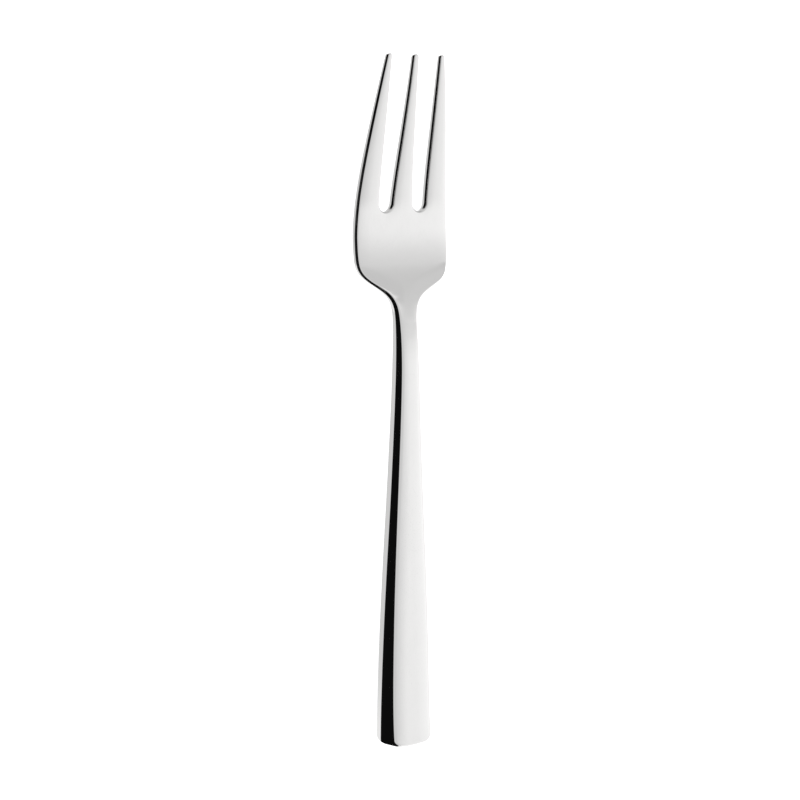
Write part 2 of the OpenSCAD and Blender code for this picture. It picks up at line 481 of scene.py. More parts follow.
    def fall(self, y: float, distance: float, width: float) -> float:
        """How far the upper face falls near an edge.

        Args:
            y: Place along the fork.
            distance: Distance to the edge, seen from above.
            width: Width over which the face falls.

        Returns:
            The drop below the middle of the face.
        """
        reach = min(width, self.edges.crown_width)
        left = 1 - clamp(distance / reach)
        power = mix(self.edges.crown_power, self.edges.tine_crown_power, self.tine_share(y))
        return self.crown_slope(y) * reach * left**power

    def crown(self, x: float, y: float) -> float:
        """Drop of the upper face below the middle line at a point."""
        side, inner, outer = self.side(y), self.slot_inner(y), self.slot_outer(y)
        split = ease((y - self.head.widest_at) / (self.tines.slot_at - self.head.widest_at))
        reach = mix(min(side, self.edges.crown_width), (side - outer) / 2, split)
        drop = self.fall(y, side - x, reach)
        centre_y = self.tines.slot_at + self.slot_radius
        if y < centre_y:
            half = (outer - inner) / 2
            across = (x - inner - half) * self.slot_radius / half
            gap = (math.hypot(across, centre_y - y) - self.slot_radius) * half / self.slot_radius
            strip = mix(inner, (side - outer) / 2, clamp((x - inner) / (outer - inner)))
            return drop + self.fall(y, max(gap, 0.0), strip) * split
        if x < (inner + outer) / 2:
            return drop + self.fall(y, inner - x, inner)
        return drop + self.fall(y, x - outer, (side - outer) / 2)

    def height(self, x: float, y: float, distance: float, face: Face) -> float:
        """Height of the surface above the table.

        Args:
            x: Distance from the middle line.
            y: Place along the fork.
            distance: Distance to the outline, seen from above.
            face: Which of the two faces is meant.

        Returns:
            The height of that face there, its rounded edge included.
        """
        if face is Face.UPPER:
            radius = self.top_radius(y)
            turn = radius - min(distance, radius)
            inset = radius - math.sqrt(radius * radius - turn * turn)
            middle = self.under(y) + self.thickness(y)
            return middle + self.hollow(x, y) - self.crown(x, y) - inset
        width = self.under_width(y)
        turn = 1 - min(distance / width, 1.0)
        return self.under(y) + self.under_height(y) * (1 - math.sqrt(1 - turn * turn))

    def end_shift(self, x: float, y: float, z: float) -> float:
        """How far the arc and the lean of the broad end move a point towards the tips."""
        hand, foot = self.handle, self.edges.under_height
        arc = hand.end_arc_radius - math.sqrt(hand.end_arc_radius**2 - x * x)
        lean = hand.end_lean * max(z - foot, 0.0) / (hand.end_thickness - foot)
        return (arc + lean) * (1 - ease(y / hand.pad_length))


@dataclass(frozen=True)
class OutlinePoint:
    """A point of the outline, seen from above, with the direction that leads outwards."""

    x: float
    y: float
    out_x: float
    out_y: float

    def inward(self, distance: float) -> tuple[float, float]:
        """Returns the place that lies a distance inside the outline."""
        return self.x - self.out_x * distance, self.y - self.out_y * distance


@dataclass(frozen=True)
class Run:
    """A stretch of the outline and the line of vertices that follows it.

    Attributes:
        curve: Gives the point of the outline at a place of the stretch.
        first: Column and row of the first vertex.
        last: Column and row of the last vertex.
        start: Place of the first vertex.
        stop: Place of the last vertex.
        look_share: Share of the stretch over which the outline's direction is taken.
    """

    curve: Callable[[float], tuple[float, float]]
    first: tuple[int, int]
    last: tuple[int, int]
    start: float
    stop: float
    look_share: float = 0.001

    def points(self) -> dict[tuple[int, int], OutlinePoint]:
        """Returns the points of the stretch, by the column and row that they shape."""
        columns, rows = self.last[0] - self.first[0], self.last[1] - self.first[1]
        count = abs(columns) + abs(rows)
        look = (self.stop - self.start) * self.look_share
        found = {}
        for k in range(count + 1):
            place = mix(self.start, self.stop, k / count)
            x, y = self.curve(place)
            before, after = Vector(self.curve(place - look)), Vector(self.curve(place + look))
            along = (after - before).normalized()
            key = (self.first[0] + columns * k // count, self.first[1] + rows * k // count)
            found[key] = OutlinePoint(x, y, along.y, -along.x)
        return found


@dataclass
class Blank:
    """The ruled blank: how its rows and columns follow the outline of half a fork.

    Attributes:
        shape: The surface of the fork.
        middle_columns: Columns across half the middle tine.
        slot_columns: Columns across a slot.
        outer_columns: Columns across an outer tine.
        corner_rows: Rows beside the corner of the broad end.
        handle_rows: Rows from there to the waist.
        shoulder_rows: Rows over the shoulders.
        head_rows: Rows from there to the slot bottoms.
        slot_rows: Rows beside the round bottoms of the slots.
        tine_rows: Rows along the straight sides of the tines.
        tip_rows: Rows beside the round tips.
        slot_fade: Length over which the rows bend to the round bottoms.
        end_fade: Length over which they bend to the broad end.
        tip_fade: Length over which they bend to the tips.
    """

    shape: ForkShape
    middle_columns: int = 9
    slot_columns: int = 12
    outer_columns: int = 13
    corner_rows: int = 4
    handle_rows: int = 58
    shoulder_rows: int = 84
    head_rows: int = 14
    slot_rows: int = 7
    tine_rows: int = 74
    tip_rows: int = 6
    slot_fade: float = 4 * MM
    end_fade: float = 4 * MM
    tip_fade: float = 1 * MM

    @cached_property
    def columns(self) -> int:
        """Number of columns across half the fork."""
        return self.middle_columns + self.slot_columns + self.outer_columns

    @cached_property
    def slot_row(self) -> int:
        """Row that runs along the slot bottoms."""
        return self.corner_rows + self.handle_rows + self.shoulder_rows + self.head_rows

    @cached_property
    def rows(self) -> int:
        """Number of rows from the broad end to the tips."""
        return self.slot_row + self.slot_rows + self.tine_rows + self.tip_rows

    @cached_property
    def slot_from(self) -> int:
        """Column that runs along the middle tine's side."""
        return self.middle_columns

    @cached_property
    def slot_to(self) -> int:
        """Column that runs along the outer tine's inner side."""
        return self.middle_columns + self.slot_columns

    def strip(self, column: float) -> Strip:
        """Returns the strip that a column lies in."""
        if column <= self.slot_from:
            return Strip.MIDDLE_TINE
        return Strip.SLOT if column < self.slot_to else Strip.OUTER_TINE

    def broad_end(self, share: float) -> tuple[float, float]:
        """Point of the broad end, from the middle line to the middle of its corner.

        Args:
            share: Share of the columns from the middle line.

        Returns:
            The place seen from above, before the end arc moves it.
        """
        radius = self.shape.handle.end_corner_radius
        flat = self.shape.side(radius) - radius
        bend = radius * math.pi / 4
        walked = share * (flat + bend)
        if walked <= flat:
            return walked, 0.0
        angle = (walked - flat) / radius
        return flat + radius * math.sin(angle), radius * (1 - math.cos(angle))

    def corner(self, angle: float) -> tuple[float, float]:
        """Point of the corner of the broad end at an angle from straight back."""
        radius = self.shape.handle.end_corner_radius
        centre = self.shape.side(radius) - radius
        return centre + radius * math.sin(angle), radius * (1 - math.cos(angle))

    def outer_side(self, y: float) -> tuple[float, float]:
        """Point of the outer side at a place along the fork."""
        return self.shape.side(y), y

    def tip(self, strip: Strip, outer: bool, angle: float) -> tuple[float, float]:
        """Point of the round tip of a tine.

        Args:
            strip: The tine that the tip belongs to.
            outer: Whether the point lies on the side away from the middle line.
            angle: Angle from the start of the round, where a right angle is the very tip.

        Returns:
            The place seen from above.
        """
        shape = self.shape
        if strip is Strip.MIDDLE_TINE:
            radius = shape.tines.middle_tip_width / 2
            y = shape.length - radius * (1 - math.sin(angle))
            return shape.slot_inner(y) - radius * (1 - math.cos(angle)), y
        radius = shape.tines.outer_tip_width / 2
        y = shape.length - radius * (1 - math.sin(angle))
        drawn = radius * (1 - math.cos(angle))
        return (shape.side(y) - drawn, y) if outer else (shape.slot_outer(y) + drawn, y)

    def slot_side(self, outer: bool, y: float) -> tuple[float, float]:
        """Point of a straight side of the slot at a place along the fork."""
        return (self.shape.slot_outer(y) if outer else self.shape.slot_inner(y)), y

    def slot_bottom(self, angle: float) -> tuple[float, float]:
        """Point of the slot's round bottom at an angle from its lowest point, outwards."""
        shape = self.shape
        y = shape.tines.slot_at + shape.slot_radius * (1 - math.cos(angle))
        inner, outer = shape.slot_inner(y), shape.slot_outer(y)
        return (inner + outer) / 2 + (outer - inner) / 2 * math.sin(angle), y

    def tip_across(self, angle: float) -> tuple[float, float]:
        """Point of the outer tip, from its outer side over the very tip to its inner side."""
        if angle <= math.pi / 2:
            return self.tip(Strip.OUTER_TINE, True, angle)
        return self.tip(Strip.OUTER_TINE, False, math.pi - angle)

    def beside_round(self, share: float) -> tuple[float, float]:
        """Point of the outer side level with the round bottom of the slot.

        Args:
            share: Share of the way from the foot of the tine to the end of the round.

        Returns:
            The place seen from above.
        """
        shape = self.shape
        angle = mix(math.pi / 4, math.pi / 2, share)
        reach = shape.slot_radius + shape.top_radius(shape.tines.slot_at)
        return self.outer_side(shape.tines.slot_at + shape.slot_radius - reach * math.cos(angle))

    def outline(self) -> dict[tuple[int, int], OutlinePoint]:
        """Walks once round half the fork and notes a point for each vertex of its border.

        Returns:
            The points of the outline, by the column and row that they shape.
        """
        shape, last = self.shape, self.columns
        quarter, eighth = math.pi / 2, math.pi / 4
        low, high = self.slot_from, self.slot_to
        waist = self.corner_rows + self.handle_rows
        widest = waist + self.shoulder_rows
        straight = self.slot_row + self.slot_rows
        round_tip = straight + self.tine_rows
        waist_y = shape.handle.waist_at - shape.handle.waist_run
        widest_y = shape.head.widest_at + shape.head.shoulder_run
        slot_y = self.beside_round(0.0)[1]
        centre_y = shape.tines.slot_at + shape.slot_radius
        outer_y = shape.length - shape.tines.outer_tip_width / 2
        middle_y = shape.length - shape.tines.middle_tip_width / 2
        corner_y = shape.handle.end_corner_radius
        outer_tip = partial(self.tip, Strip.OUTER_TINE, True)
        inner_tip = partial(self.tip, Strip.OUTER_TINE, False)
        middle_tip = partial(self.tip, Strip.MIDDLE_TINE, True)
        far_side, near_side = partial(self.slot_side, True), partial(self.slot_side, False)
        runs = [
            Run(self.broad_end, (0, 0), (last, 0), 0.0, 1.0),
            Run(self.corner, (last, 0), (last, self.corner_rows), eighth, quarter),
            Run(self.outer_side, (last, self.corner_rows), (last, waist), corner_y, waist_y),
            Run(self.outer_side, (last, waist), (last, widest), waist_y, widest_y),
            Run(self.outer_side, (last, widest), (last, self.slot_row), widest_y, slot_y),
            Run(self.beside_round, (last, self.slot_row), (last, straight), 0.0, 1.0),
            Run(self.outer_side, (last, straight), (last, round_tip), centre_y, outer_y),
            Run(outer_tip, (last, round_tip), (last, self.rows), 0.0, eighth),
            Run(self.tip_across, (last, self.rows), (high, self.rows), eighth, 3 * eighth),
            Run(inner_tip, (high, self.rows), (high, round_tip), eighth, 0.0),
            Run(far_side, (high, round_tip), (high, straight), outer_y, centre_y),
            Run(self.slot_bottom, (high, straight), (high, self.slot_row), quarter, eighth),
            Run(self.slot_bottom, (high, self.slot_row), (low, self.slot_row), eighth, -eighth),
            Run(self.slot_bottom, (low, self.slot_row), (low, straight), -eighth, -quarter),
            Run(near_side, (low, straight), (low, round_tip), centre_y, middle_y),
            Run(middle_tip, (low, round_tip), (low, self.rows), 0.0, eighth),
            Run(middle_tip, (low, self.rows), (0, self.rows), eighth, quarter),
        ]
        points: dict[tuple[int, int], OutlinePoint] = {}
        for run in runs:
            points.update(run.points())
        return points


@dataclass
class Press:
    """The press that gives every vertex of the blank its place on one face of the fork."""

    blank: Blank
    face: Face

    @cached_property
    def border(self) -> dict[tuple[int, int], OutlinePoint]:
        """Points of the outline, by column and row."""
        return self.blank.outline()

    def round_width(self, y: float) -> float:
        """Width that the rounded edge takes from the face."""
        shape = self.blank.shape
        return shape.top_radius(y) if self.face is Face.UPPER else shape.under_width(y)

    def rim(self, column: int, row: int) -> Vector:
        """Point of the border of the flat part of the face."""
        point = self.border[column, row]
        return Vector(point.inward(self.round_width(point.y)))

    def slot_row_point(self, column: int) -> Vector:
        """Point of the row that runs along the slot bottoms, over all three strips."""
        blank, row = self.blank, self.blank.slot_row
        inner, outer = self.rim(blank.slot_from, row), self.rim(blank.slot_to, row)
        if column <= blank.slot_from:
            return Vector((0.0, inner.y)).lerp(inner, column / blank.slot_from)
        if column < blank.slot_to:
            return self.rim(column, row)
        share = (column - blank.slot_to) / blank.outer_columns
        return outer.lerp(self.rim(blank.columns, row), share)

    @cached_property
    def body_shares(self) -> list[float]:
        """How the columns of handle and head share the half width."""
        blank = self.blank
        across = self.slot_row_point(blank.columns).x
        return [self.slot_row_point(column).x / across for column in range(blank.columns + 1)]

    def across_body(self, column: int, row: int) -> Vector:
        """Point on a straight row across the handle or the head."""
        side = self.rim(self.blank.columns, row)
        return Vector((0.0, side.y)).lerp(side, self.body_shares[column])

    def body_point(self, column: int, row: int) -> Vector:
        """Point of the handle or the head, whose last rows bend round the slot."""
        blank = self.blank
        if row == 0:
            return self.rim(column, row)
        place = self.across_body(column, row)
        start = self.rim(column, 0) - self.across_body(column, 0)
        stop = self.slot_row_point(column) - self.across_body(column, blank.slot_row)
        from_start = place.y - self.across_body(column, 0).y
        to_stop = self.across_body(column, blank.slot_row).y - place.y
        place += start * ease(1 - from_start / blank.end_fade)
        return place + stop * ease(1 - to_stop / blank.slot_fade)

    def tine_point(self, column: int, row: int) -> Vector:
        """Point of a tine, whose last rows bend round its tip."""
        blank = self.blank
        middle = column <= blank.slot_from
        first = 0 if middle else blank.slot_to
        last = blank.slot_from if middle else blank.columns
        share = (column - first) / (last - first)

        def across(at_row: int) -> Vector:
            """Point on a straight row across the tine."""
            stop = self.rim(last, at_row)
            start = Vector((0.0, stop.y)) if middle else self.rim(first, at_row)
            return start.lerp(stop, share)

        if row == blank.rows:
            return self.rim(column, row)
        place = across(row)
        bend = self.rim(column, blank.rows) - across(blank.rows)
        to_tip = across(blank.rows).y - place.y
        return place + bend * ease(1 - to_tip / blank.tip_fade)

    def plan(self, column: int, row: int) -> Vector:
        """Place of a vertex seen from above, before the end arc moves it."""
        if row < self.blank.slot_row:
            return self.body_point(column, row)
        if row == self.blank.slot_row:
            return self.slot_row_point(column)
        return self.tine_point(column, row)

    def raised(self, x: float, y: float, distance: float) -> Vector:
        """Place in space of a point of this face.

        Args:
            x: Distance from the middle line.
            y: Place along the fork, before the end arc moves it.
            distance: Distance to the outline, seen from above.

        Returns:
            The place in the frame that the fork's solids use.
        """
        shape = self.blank.shape
        z = shape.height(x, y, distance, self.face)
        return Vector((x, y + shape.end_shift(x, y, z) - shape.length / 2, z))

    def pressed(self, column: int, row: int) -> Vector:
        """Place in space of a vertex of the flat part of this face."""
        place = self.plan(column, row)
        return self.raised(place.x, place.y, math.inf)


@dataclass
class Fork:
    """The fork: one forged, stamped and polished piece.

    Attributes:
        finish: What it is made of.
        shape: Its surface.
        round_steps: Steps round a rounded edge.
        wall_steps: Steps down the wall between two rounded edges.
        weld: Distance below which two vertices become one.
    """

    finish: "PolishedSteel"
    shape: ForkShape = field(default_factory=ForkShape)
    round_steps: int = 12
    wall_steps: int = 5
    weld: float = 0.001 * MM

    @cached_property
    def blank(self) -> Blank:
        """The ruled blank of half a fork."""
        return Blank(self.shape)

    @cached_property
    def presses(self) -> dict[Face, Press]:
        """The press of each face."""
        return {face: Press(self.blank, face) for face in Face}

    def rule_blank(self, mesh: bmesh.types.BMesh) -> None:
        """Lays a flat sheet, numbers its vertices and stamps out the slot.

        Args:
            mesh: An empty mesh, which gets the blank.
        """
        blank = self.blank
        column_of = mesh.verts.layers.int.new("column")
        row_of = mesh.verts.layers.int.new("row")
        bmesh.ops.create_grid(mesh, x_segments=blank.columns, y_segments=blank.rows, size=1)
        for vert in mesh.verts:
            vert[column_of] = round((vert.co.x + 1) / 2 * blank.columns)
            vert[row_of] = round((vert.co.y + 1) / 2 * blank.rows)
        stamped = []
        for piece in mesh.faces:
            columns = sum(vert[column_of] for vert in piece.verts) / len(piece.verts)
            rows = sum(vert[row_of] for vert in piece.verts) / len(piece.verts)
            if rows > blank.slot_row and blank.strip(columns) is Strip.SLOT:
                stamped.append(piece)
        bmesh.ops.delete(mesh, geom=stamped, context="FACES")

    def press_faces(self, mesh: bmesh.types.BMesh) -> list[bmesh.types.BMEdge]:
        """Doubles the blank and presses one copy to each face of the fork.

        Args:
            mesh: The mesh with the blank.

        Returns:
            The border of the upper face, apart from the middle line.
        """
        column_of, row_of = mesh.verts.layers.int["column"], mesh.verts.layers.int["row"]
        upper = list(mesh.verts)
        border = [
            edge
            for edge in mesh.edges
            if edge.is_boundary and any(vert[column_of] > 0 for vert in edge.verts)
        ]
        copied = bmesh.ops.duplicate(mesh, geom=list(mesh.faces))["geom"]
        under = [item for item in copied if isinstance(item, bmesh.types.BMVert)]
        turned = [item for item in copied if isinstance(item, bmesh.types.BMFace)]
        bmesh.ops.reverse_faces(mesh, faces=turned)
        for face, verts in ((Face.UPPER, upper), (Face.UNDER, under)):
            for vert in verts:
                vert.co = self.presses[face].pressed(vert[column_of], vert[row_of])
        return border

    def edge_profile(self, point: OutlinePoint) -> list[Vector]:
        """Points of the rounded edge, from the upper face down to the underside.

        Args:
            point: The point of the outline that the edge passes.

        Returns:
            The points below the border of the upper face, the last on the underside.
        """
        upper, under = self.presses[Face.UPPER], self.presses[Face.UNDER]
        turns = [share * math.pi / 2 for share in graded(self.round_steps)]

        def on(press: Press, turn: float) -> Vector:
            """Point of the round at an angle from the flat face."""
            distance = press.round_width(point.y) * (1 - math.sin(turn))
            return press.raised(*point.inward(distance), distance)

        top = [on(upper, turn) for turn in turns[1:]]
        foot = [on(under, turn) for turn in reversed(turns)]
        wall = [top[-1].lerp(foot[0], k / self.wall_steps) for k in range(1, self.wall_steps)]
        return top + wall + foot

    def roll_edges(self, mesh: bmesh.types.BMesh, border: list[bmesh.types.BMEdge]) -> None:
        """Draws the border of the upper face out and down to the underside.

        Args:
            mesh: The mesh with both faces.
            border: The border of the upper face.
        """
        column_of, row_of = mesh.verts.layers.int["column"], mesh.verts.layers.int["row"]
        rim_of = mesh.verts.layers.float.new(RIM)
        profiles = {key: self.edge_profile(point) for key, point in self.blank.outline().items()}
        rings = len(next(iter(profiles.values())))
        for ring in range(rings):
            drawn = bmesh.ops.extrude_edge_only(mesh, edges=border)["geom"]
            border = [item for item in drawn if isinstance(item, bmesh.types.BMEdge)]
            for vert in {vert for edge in border for vert in edge.verts}:
                vert.co = profiles[vert[column_of], vert[row_of]][ring]
                vert[rim_of] = clamp((ring + 1) / self.round_steps)

    def mirror_half(self, mesh: bmesh.types.BMesh) -> None:
        """Welds the half fork, mirrors it and welds both halves along the middle line.

        Args:
            mesh: The mesh with half a fork, open only along the middle line.
        """
        bmesh.ops.remove_doubles(mesh, verts=list(mesh.verts), dist=self.weld)
        for vert in mesh.verts:
            vert.co.x = 0.0 if abs(vert.co.x) < self.weld else vert.co.x
        half = list(mesh.verts) + list(mesh.edges) + list(mesh.faces)
        unturned = Matrix.Identity(4)
        bmesh.ops.mirror(mesh, geom=half, matrix=unturned, merge_dist=self.weld, axis="X")
        bmesh.ops.remove_doubles(mesh, verts=list(mesh.verts), dist=self.weld)
        bmesh.ops.recalc_face_normals(mesh, faces=list(mesh.faces))
        for piece in mesh.faces:
            piece.smooth = True

    def forge(self) -> bpy.types.Object:
        """Makes the fork and gives it its finish.

        Returns:
            The finished piece.
        """
        mesh = bmesh.new()
        self.rule_blank(mesh)
        border = self.press_faces(mesh)
        self.roll_edges(mesh, border)
        self.mirror_half(mesh)
        forged = set_down("pastry_fork", mesh, self.finish.material())
        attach(forged, "root")
        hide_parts("fork")
        return forged


@dataclass(frozen=True)
class Wiring:
    """A node tree, with short ways to place its nodes and join them."""

    tree: bpy.types.NodeTree

    def join(self, wire: Wire, socket: bpy.types.NodeSocket) -> None:
        """Leads a value or another node's output into a socket."""
        if isinstance(wire, bpy.types.NodeSocket):
            self.tree.links.new(wire, socket)
        else:
            socket.default_value = wire

    def place(self, kind: str, inputs: Inputs | None = None, **options: object) -> bpy.types.Node:
        """Places a node.

        Args:
            kind: The kind of node.
            inputs: What goes into its sockets, by name or number.
            options: What its own options are set to.

        Returns:
            The node.
        """
        node = self.tree.nodes.new(kind)
        for option, choice in options.items():
            setattr(node, option, choice)
        for socket, wire in (inputs or {}).items():
            self.join(wire, node.inputs[socket])
        return node

    def math(self, operation: str, first: Wire, second: Wire) -> bpy.types.NodeSocket:
        """Returns the outcome of a sum on two values."""
        return self.place("ShaderNodeMath", {0: first, 1: second}, operation=operation).outputs[0]

    def both(self, first: Wire, second: Wire) -> bpy.types.NodeSocket:
        """Returns a mask of what lies in both of two masks."""
        return self.math("MULTIPLY", first, second)

    def either(self, first: Wire, second: Wire) -> bpy.types.NodeSocket:
        """Returns a mask of what lies in one of two masks or in both."""
        return self.math("MAXIMUM", first, second)

    def band(self, value: Wire, span: Span, low: Wire, high: Wire) -> bpy.types.NodeSocket:
        """Passes smoothly from one value to another.

        Args:
            value: What decides how far the way has gone.
            span: Where the way starts and stops.
            low: The value before its start.
            high: The value past its end.

        Returns:
            The value on the way.
        """
        start, stop = span
        inputs = {"Value": value, "From Min": start, "From Max": stop, "To Min": low, "To Max": high}
        node = self.place("ShaderNodeMapRange", inputs, interpolation_type="SMOOTHSTEP")
        return node.outputs["Result"]

    def past(self, value: Wire, span: Span) -> bpy.types.NodeSocket:
        """Returns a mask that rises from 0 to 1 over a span of a value."""
        return self.band(value, span, 0.0, 1.0)

    def before(self, value: Wire, span: Span) -> bpy.types.NodeSocket:
        """Returns a mask that drops from 1 to 0 over a span of a value."""
        return self.band(value, span, 1.0, 0.0)

    def blend(self, share: Wire, low: Wire, high: Wire) -> bpy.types.NodeSocket:
        """Returns the value that lies at a share of the way from low to high."""
        inputs = {"Factor": share, "A": low, "B": high}
        return self.place("ShaderNodeMix", inputs, data_type="FLOAT").outputs["Result"]

    def weighted(self, start: float, *parts: tuple[float, Wire]) -> bpy.types.NodeSocket:
        """Adds up values, each with its own weight.

        Args:
            start: What the others are added to.
            parts: Weights and the values that they go with.

        Returns:
            The total.
        """
        total: Wire = start
        for weight, value in parts:
            inputs = {0: value, 1: weight, 2: total}
            total = self.place("ShaderNodeMath", inputs, operation="MULTIPLY_ADD").outputs[0]
        return total

    def ramp(self, value: Wire, tones: tuple[Span, ...]) -> bpy.types.NodeSocket:
        """Reads a tone off a ramp.

        Args:
            value: Where on the ramp the tone is read.
            tones: The ramp's stops, each a place and the tone there.

        Returns:
            The tone.
        """
        node = self.place("ShaderNodeValToRGB", {"Fac": value})
        stops = node.color_ramp.elements
        ready = len(stops)
        for count, (at, tone) in enumerate(tones):
            stop = stops[count] if count < ready else stops.new(at)
            stop.position = at
            stop.color = grey(tone)
        return node.outputs["Color"]

    def split(self, vector: Wire) -> bpy.types.bpy_prop_collection:
        """Returns the X, Y and Z of a place or a direction."""
        return self.place("ShaderNodeSeparateXYZ", {"Vector": vector}).outputs

    def grains(self, at: Wire, across: Wire, along: Wire) -> bpy.types.NodeSocket:
        """Counts a place in grains that are drawn out along the fork.

        Args:
            at: The place in metres.
            across: Width and height of a grain.
            along: Length of a grain.

        Returns:
            The place in grains.
        """
        size = self.place("ShaderNodeCombineXYZ", {"X": across, "Y": along, "Z": across})
        inputs = {0: at, 1: size.outputs["Vector"]}
        return self.place("ShaderNodeVectorMath", inputs, operation="DIVIDE").outputs["Vector"]

    def noise(self, grains: Wire, detail: float, warp: float = 0.0) -> bpy.types.NodeSocket:
        """Returns a soft random pattern with one patch to a grain, finer ones as detail grows."""
        inputs = {"Vector": grains, "Scale": 1.0, "Detail": detail, "Distortion": warp}
        return self.place("ShaderNodeTexNoise", inputs).outputs["Fac"]


class Effect(Enum):
    """The effects that finishes are put together from. Each is a shader node group."""

    POLISH_LINES = "polish_lines"
    SCRATCHES = "scratches"
    SMUDGES = "smudges"
    RUBBED_FOOT = "rubbed_foot"
    # Painted shade on the tines: their colour is made darker.
    TINE_SHADE = "painted_tine_shade"

    def group(self) -> bpy.types.NodeTree:
        """Returns the node group, made at its first use."""
        made = bpy.data.node_groups.get(self.value)
        if made:
            return made
        tree = bpy.data.node_groups.new(self.value, "ShaderNodeTree")
        makers = {
            Effect.POLISH_LINES: lay_polish_lines,
            Effect.SCRATCHES: lay_scratches,
            Effect.SMUDGES: lay_smudges,
            Effect.RUBBED_FOOT: lay_rubbed_foot,
            Effect.TINE_SHADE: lay_painted_tine_shade,
        }
        makers[self](tree)
        return tree

    def laid(self, wiring: Wiring, at: Wire, **numbers: float) -> bpy.types.NodeSocket:
        """Lays the effect in a material.

        Args:
            wiring: The material's wiring.
            at: The place that the effect follows.
            numbers: The effect's own numbers, by the names of its sockets.

        Returns:
            The effect's mask.
        """
        inputs = {"Place": at, **numbers}
        return wiring.place("ShaderNodeGroup", inputs, node_tree=self.group()).outputs["Mask"]


def open_group(
    tree: bpy.types.NodeTree, *numbers: str
) -> tuple[Wiring, bpy.types.bpy_prop_collection]:
    """Gives a group its sockets: a place, some numbers, and a mask that comes out.

    Args:
        tree: The empty group.
        numbers: Names of the numbers that go in.

    Returns:
        The group's wiring and what goes into the group, by name.
    """
    tree.interface.new_socket("Place", in_out="INPUT", socket_type="NodeSocketVector")
    for name in numbers:
        tree.interface.new_socket(name, in_out="INPUT", socket_type="NodeSocketFloat")
    tree.interface.new_socket("Mask", in_out="OUTPUT", socket_type="NodeSocketFloat")
    wiring = Wiring(tree)
    return wiring, wiring.place("NodeGroupInput").outputs


def close_group(wiring: Wiring, mask: bpy.types.NodeSocket) -> None:
    """Leads the mask out of a group."""
    wiring.place("NodeGroupOutput", {"Mask": mask})


def lay_polish_lines(tree: bpy.types.NodeTree) -> None:
    """Lays the fine parallel lines that a polishing wheel leaves along the fork."""
    wiring, given = open_group(tree, "Width", "Length")
    grains = wiring.grains(given["Place"], given["Width"], given["Length"])
    close_group(wiring, wiring.past(wiring.noise(grains, detail=3.0), LINE_LEVELS))


def lay_scratches(tree: bpy.types.NodeTree) -> None:
    """Lays short, thin, slightly bent scratches, all roughly at one angle."""
    wiring, given = open_group(tree, "Angle", "Width", "Length", "Share")
    bends = {"Vector": given["Place"], "Scale": SCRATCH_BENDS_PER_METRE, "Detail": 0.0}
    bend = wiring.place("ShaderNodeTexNoise", bends)
    inputs = {"Vector": given["Place"], "Angle": given["Angle"]}
    turned = wiring.place("ShaderNodeVectorRotate", inputs, rotation_type="Z_AXIS")
    swing = {0: bend.outputs["Color"], 1: (SCRATCH_SWING,) * 3, 2: turned.outputs["Vector"]}
    bent = wiring.place("ShaderNodeVectorMath", swing, operation="MULTIPLY_ADD")
    grains = wiring.grains(bent.outputs["Vector"], given["Width"], given["Length"])
    over = wiring.math("ADD", wiring.noise(grains, detail=0.0), given["Share"])
    close_group(wiring, wiring.past(over, SCRATCH_LEVELS))


def lay_smudges(tree: bpy.types.NodeTree) -> None:
    """Lays the soft patches that fingers and wiping leave."""
    wiring, given = open_group(tree, "Size", "Share")
    grains = wiring.grains(given["Place"], given["Size"], given["Size"])
    over = wiring.math("ADD", wiring.noise(grains, detail=2.0, warp=0.6), given["Share"])
    close_group(wiring, wiring.past(over, SMUDGE_LEVELS))


def lay_rubbed_foot(tree: bpy.types.NodeTree) -> None:
    """Marks the low places that rub on tables and plates."""
    wiring, given = open_group(tree, "Height")
    low = wiring.math("DIVIDE", wiring.split(given["Place"])["Z"], given["Height"])
    close_group(wiring, wiring.before(low, FOOT_LEVELS))


def lay_painted_tine_shade(tree: bpy.types.NodeTree) -> None:
    """Marks the tines, whose colour is made darker as a painted shade."""
    wiring, given = open_group(tree, "Start", "Run")
    reached = wiring.math("SUBTRACT", wiring.split(given["Place"])["Y"], given["Start"])
    share = wiring.math("DIVIDE", reached, given["Run"])
    close_group(wiring, wiring.past(share, (0.0, 1.0)))


@dataclass(frozen=True)
class Weights:
    """How much each mark counts in one property of a finish."""

    lines: float = 0.0
    smudges: float = 0.0
    scratches: float = 0.0
    foot: float = 0.0
    tines: float = 0.0
    ripples: float = 0.0
    rim: float = 0.0


